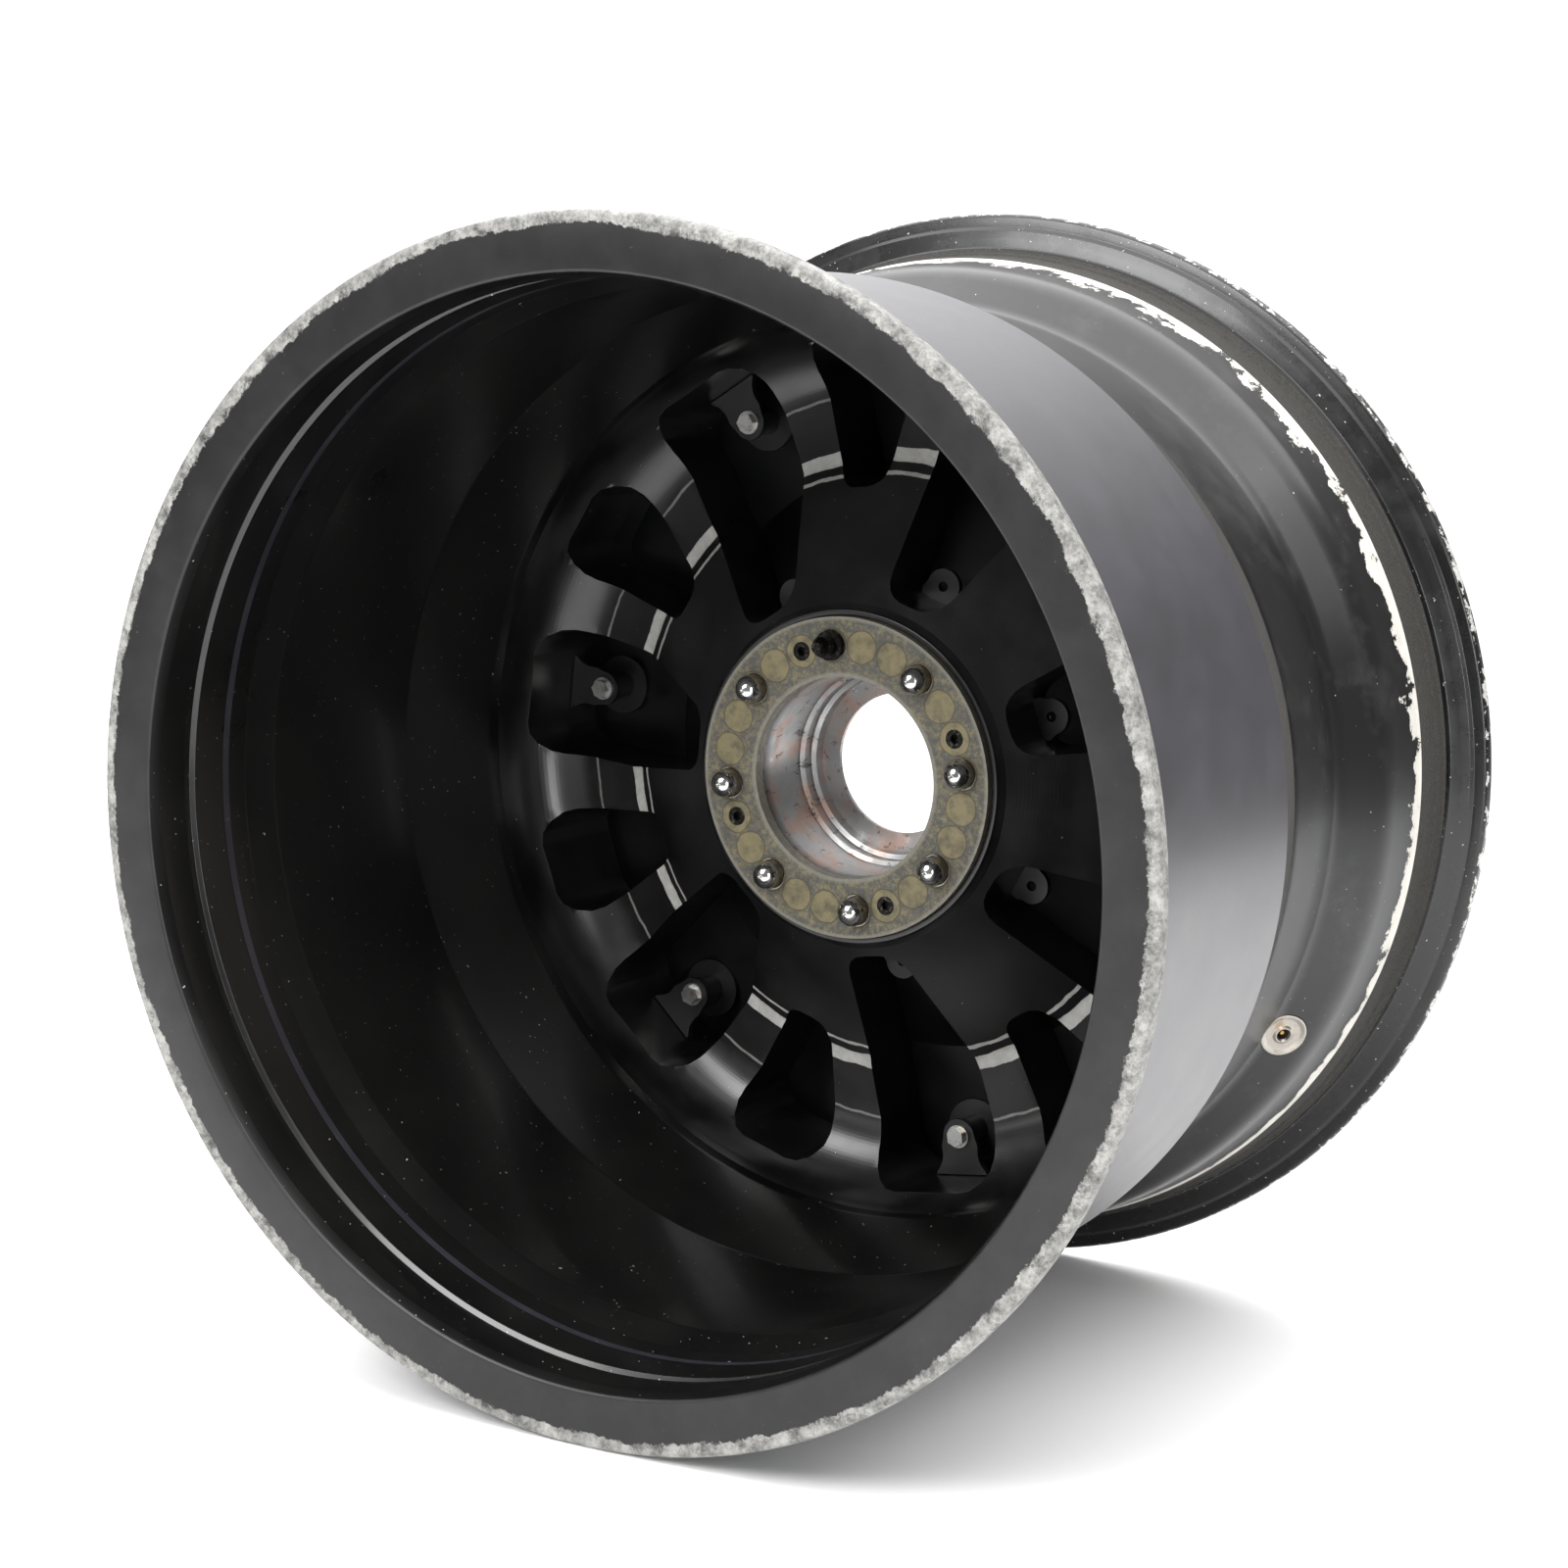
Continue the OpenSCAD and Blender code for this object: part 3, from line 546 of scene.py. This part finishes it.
def buildValve(finish):  # dished head with a raised rim, on a plain shank
    v = valve
    head, hole = v["headRadius"], v["hole"]
    section = [(0.1, hole + 0.6, 0), (-0.9, hole, 0.2), (-v["length"], hole, 0),
               (-v["length"], v["shankRadius"], 0.5), (-2.8, v["shankRadius"], 0), (-2.8, head, 0.3),
               (0.15, head, 0.25), (0.15, head - 0.9, 0.2), (-0.7, head - 2.6, 0.6), (-0.7, hole + 2.2, 0.8),
               (0.1, hole + 1.1, 0.3)]
    bm = spinSection(roundedLoop(section), 72)
    bmesh.ops.transform(bm, matrix=valveMatrix(), verts=bm.verts)
    piece = finishMesh(bm, "valveBody", [finish], 30)
    return ridesOn("wheel", piece, "valve_steel", "valve_body")


pegs = {
    "count": 8, "firstStation": -7.0, "pitchRadius": 59.0, "radius": 6.5, "seatRadius": 7.0,
    "tip": 19.0, "face": 29.0, "foot": 35.0, "hole": 0.9, "holeDepth": 1.6, "core": 0.05,
}


def buildPegs(finish):  # bullet-nosed pegs with a centre hole, one left out for the index peg
    d = pegs
    radius, tip = d["radius"], d["tip"]
    angles = [math.radians(a) for a in range(10, 91, 8)]
    nose = [(tip + radius - radius * math.cos(a), radius * math.sin(a)) for a in angles]
    section = [(tip + d["holeDepth"], d["core"]), (tip + d["holeDepth"], d["hole"])] + nose + [
        (d["face"] - 0.4, radius), (d["face"], radius + 0.2), (d["face"], d["seatRadius"]),
        (d["foot"], d["seatRadius"]), (d["foot"], d["core"])]
    bm = spinSection(section, 40)
    bmesh.ops.translate(bm, verts=bm.verts, vec=(0, 0, d["pitchRadius"] * mm))
    pitch = 2 * math.pi / d["count"]
    start = Matrix.Rotation(math.radians(d["firstStation"]) + pitch, 3, "Y")
    bmesh.ops.rotate(bm, verts=bm.verts, cent=(0, 0, 0), matrix=start)
    copyRound(bm, d["count"] - 1, pitch)
    piece = finishMesh(bm, "drivePegs", [finish], 35)
    return ridesOn("wheel", piece, "bright_steel", "drive_pegs")


centre = {
    "steps": 252, "spokes": 7, "firstStation": -7.0,
    "coneEnd": (77.0, 137.0), "shoulder": (85.0, 168.0), "filletRadius": 33.0,
    "depth": 38.0, "pocketDepth": 27.0, "pocketRound": 11.0, "ledge": 7.0, "edge": 1.0,
    "ringSeat": (32.0, 74.0), "bore": 48.2, "cutFrom": -30.0,
    "long": [(81.0, -13.5, 12.0), (137.0, -28.0, 60.0), (195.5, -31.0, 14.0),
             (195.5, 31.0, 14.0), (137.0, 28.0, 60.0), (81.0, 13.5, 12.0)],
    "fork": [(126.0, -10.0, 9.0), (195.5, -29.0, 13.0), (195.5, 29.0, 13.0), (126.0, 10.0, 9.0)],
}


def faceAlong(radius):  # place along the axle of the spokes' inboard face
    alongRing, radiusRing = centre["ringSeat"]
    alongCone, radiusCone = centre["coneEnd"]
    alongShoulder, radiusShoulder = centre["shoulder"]
    if radius < radiusCone:
        return alongRing + (radius - radiusRing) * (alongCone - alongRing) / (radiusCone - radiusRing)
    return alongCone + (radius - radiusCone) * (alongShoulder - alongCone) / (radiusShoulder - radiusCone)


def windowCutter(station, corners, depth, rounding, inset):  # closed cutters for one kind of window
    bm = bmesh.new()
    rim = [bm.verts.new((x * mm, 0, z * mm)) for z, x in roundedLoop(corners)]
    face = bm.faces.new(rim)
    if inset:
        outer = bmesh.ops.inset_region(bm, faces=[face], thickness=inset * mm, use_even_offset=True)
        bmesh.ops.delete(bm, geom=outer["faces"], context="FACES")
    rim = list(face.verts)
    grown = bmesh.ops.extrude_face_region(bm, geom=[face])["geom"]
    deep = [v for v in grown if isinstance(v, bmesh.types.BMVert)]
    floor = [f for f in grown if isinstance(f, bmesh.types.BMFace)]
    for vert in rim:
        vert.co.y = centre["cutFrom"] * mm
    for vert in deep:
        vert.co.y = (faceAlong(vert.co.z / mm) + depth) * mm
    if rounding:
        bmesh.ops.bevel(bm, geom=list(floor[0].edges), offset=rounding * mm, segments=5, profile=0.5,
                        affect="EDGES", material=-1, clamp_overlap=True)
    outwardFaces(bm)
    start = Matrix.Rotation(math.radians(station), 3, "Y")
    bmesh.ops.rotate(bm, verts=bm.verts, cent=(0, 0, 0), matrix=start)
    copyRound(bm, centre["spokes"], 2 * math.pi / centre["spokes"])
    return finishMesh(bm, "cutter", [], 30)


def buildCentre():
    c = centre
    size, bore = c["filletRadius"], c["bore"]
    alongShoulder, radiusShoulder = c["shoulder"]
    turns = [math.radians(a) for a in range(0, 91, 10)]
    fillet = [(alongShoulder - size + size * math.cos(t), radiusShoulder + size * math.sin(t)) for t in turns]
    hub = [(35.0, bore, 0), (35.0, 71.9, 0), (32.0, 71.9, 0.3), (32.0, 74.2, 0.5), (33.2, 74.8, 0.3),
           (35.6, 77.0, 3.0), (*c["coneEnd"], 12.0)]
    back = [(46.0, 203.2, 0), (92.0, 203.2, 0), (112.0, 216.0, 0), (127.0, 216.9, 0), (127.5, 200.0, 1.0),
            (alongShoulder + c["depth"], radiusShoulder, 6.0), (c["coneEnd"][0] + c["depth"], 137.0, 6.0),
            (70.5, 74.0, 3.0), (96.0, 74.0, 1.5), (96.0, bore, 0)]
    loop = roundedLoop(hub + [(*p, 0) for p in fillet] + back)
    bm = spinSection(loop, c["steps"])
    piece = finishMesh(bm, "wheelCentre", [spokePaint()], 30)
    halfPitch = 180 / c["spokes"]
    for name, station in (("fork", c["firstStation"]), ("long", c["firstStation"] + halfPitch)):
        applyCut(piece, windowCutter(station, c[name], c["pocketDepth"], c["pocketRound"], 0))
        applyCut(piece, windowCutter(station, c[name], c["depth"] + 30, 0, c["ledge"]))
    shadeSmooth(piece.data, 32)
    softened = piece.modifiers.new("edges", "BEVEL")
    softened.width = c["edge"] * mm
    softened.segments = 2
    softened.limit_method = "ANGLE"
    softened.angle_limit = math.radians(50)
    return ridesOn("wheel", piece, "black_paint", "spoke_tines", "spoke_roots", "hub_boss")


studio = {
    "cameraPlace": (0.7573, -1.3086, 0.2453), "aim": (-0.0099, -0.0056, 0.0012), "roll": -0.67, "lens": 81.2,
    "sensor": 36, "floorSize": 1.25, "floor": "#f8f8f8", "ambient": 0.3, "backdrop": 1.3,
    "backdropHeading": (-0.507, 0.862, 0.0), "backdropEdge": (0.72, 0.86),
    "softboxes": [  # name, place, target, size in metres, watts
        ("topBox", (0.0, 0.2, 2.1), (0, 0, 0), (4.0, 4.0), 190),
        ("frontBox", (-0.7, -2.2, 1.5), (0, 0, 0), (1.3, 1.3), 60),
        ("lowBox", (1.5, -1.6, 0.3), (-0.1, 0.1, 0), (0.5, 1.0), 14),
        ("rightBox", (1.9, -0.5, 1.5), (0, 0.0, 0), (0.3, 1.4), 9),
    ],
}


def buildStudio():
    s = studio
    camera = bpy.data.objects.new("camera", bpy.data.cameras.new("camera"))
    bpy.context.scene.collection.objects.link(camera)
    camera.data.lens = s["lens"]
    camera.data.sensor_width = s["sensor"]
    eye = Vector(s["cameraPlace"])
    look = (Vector(s["aim"]) - eye).to_track_quat("-Z", "Y").to_matrix().to_4x4()
    camera.matrix_world = Matrix.Translation(eye) @ look @ Matrix.Rotation(math.radians(-s["roll"]), 4, "Z")
    bpy.context.scene.camera = camera

    bm = bmesh.new()
    bmesh.ops.create_grid(bm, x_segments=1, y_segments=1, size=s["floorSize"])
    bmesh.ops.translate(bm, verts=bm.verts, vec=(0, 0, -barrel["flangeRadius"] * mm))
    white = newFinish("white studio floor", s["floor"], 0.9)[0]
    finishMesh(bm, "studioFloor", [white])

    world = bpy.data.worlds.new("studio")
    bpy.context.scene.world = world
    world.use_nodes = True
    tree = world.node_tree
    direction = addNode(tree, "TexCoord").outputs["Generated"]
    heading = addNode(tree, "VectorMath", {"operation": "DOT_PRODUCT"},
                      {0: direction, 1: s["backdropHeading"]}).outputs["Value"]
    strength = ramp(tree, heading, *s["backdropEdge"], s["ambient"], s["backdrop"])  # white behind the wheel
    tree.links.new(strength, tree.nodes["Background"].inputs["Strength"])
    tree.nodes["Background"].inputs["Color"].default_value = (1, 1, 1, 1)

    for name, spot, target, size, power in s["softboxes"]:
        light = bpy.data.objects.new(name, bpy.data.lights.new(name, "AREA"))
        light.data.shape = "RECTANGLE"
        light.data.size, light.data.size_y = size
        light.data.energy = power
        light.location = spot
        light.rotation_euler = (Vector(target) - Vector(spot)).to_track_quat("-Z", "Y").to_euler()
        bpy.context.scene.collection.objects.link(light)
    bpy.context.scene.view_settings.view_transform = "Standard"


def paintNodes():
    cover = coverPaint()
    bright = turnedSteel("zinc-plated steel", "#b4b4b2", "#7d7364")
    valveSteel = turnedSteel("turned stainless steel", "#a7a29b", "#8a6a3c")
    brass = turnedSteel("turned brass", "#b3924f", "#7b5f2f")
    bore = boreMetal()
    black = blackenedSteel()
    ring = hardCoat()
    chrome = polishedSteel()
    rubber = sealRubber()
    buildPegs(chrome)
    buildValve(valveSteel)
    finishes = {
        "bore_liner": bore, "nut_seat": bore, "drive_ring": ring,
        "index_peg": black, "ring_screws": black, "aero_cover": cover, "cover_bosses": cover,
        "outer_ears": cover, "inner_ears": cover, "ear_bolts": bright, "ear_washers": bright,
        "valve_nut": valveSteel, "valve_seal": rubber,
        "valve_core": brass, "valve_pin": brass, "valve_spring": bright,
    }
    for name, finish in finishes.items():
        nodes[name].data.materials.clear()
        nodes[name].data.materials.append(finish)


buildStudio()
print("camera and studio made")
buildBarrel()
print("barrel made")
buildCentre()
print("wheel centre made")
paintNodes()
print("nodes painted")
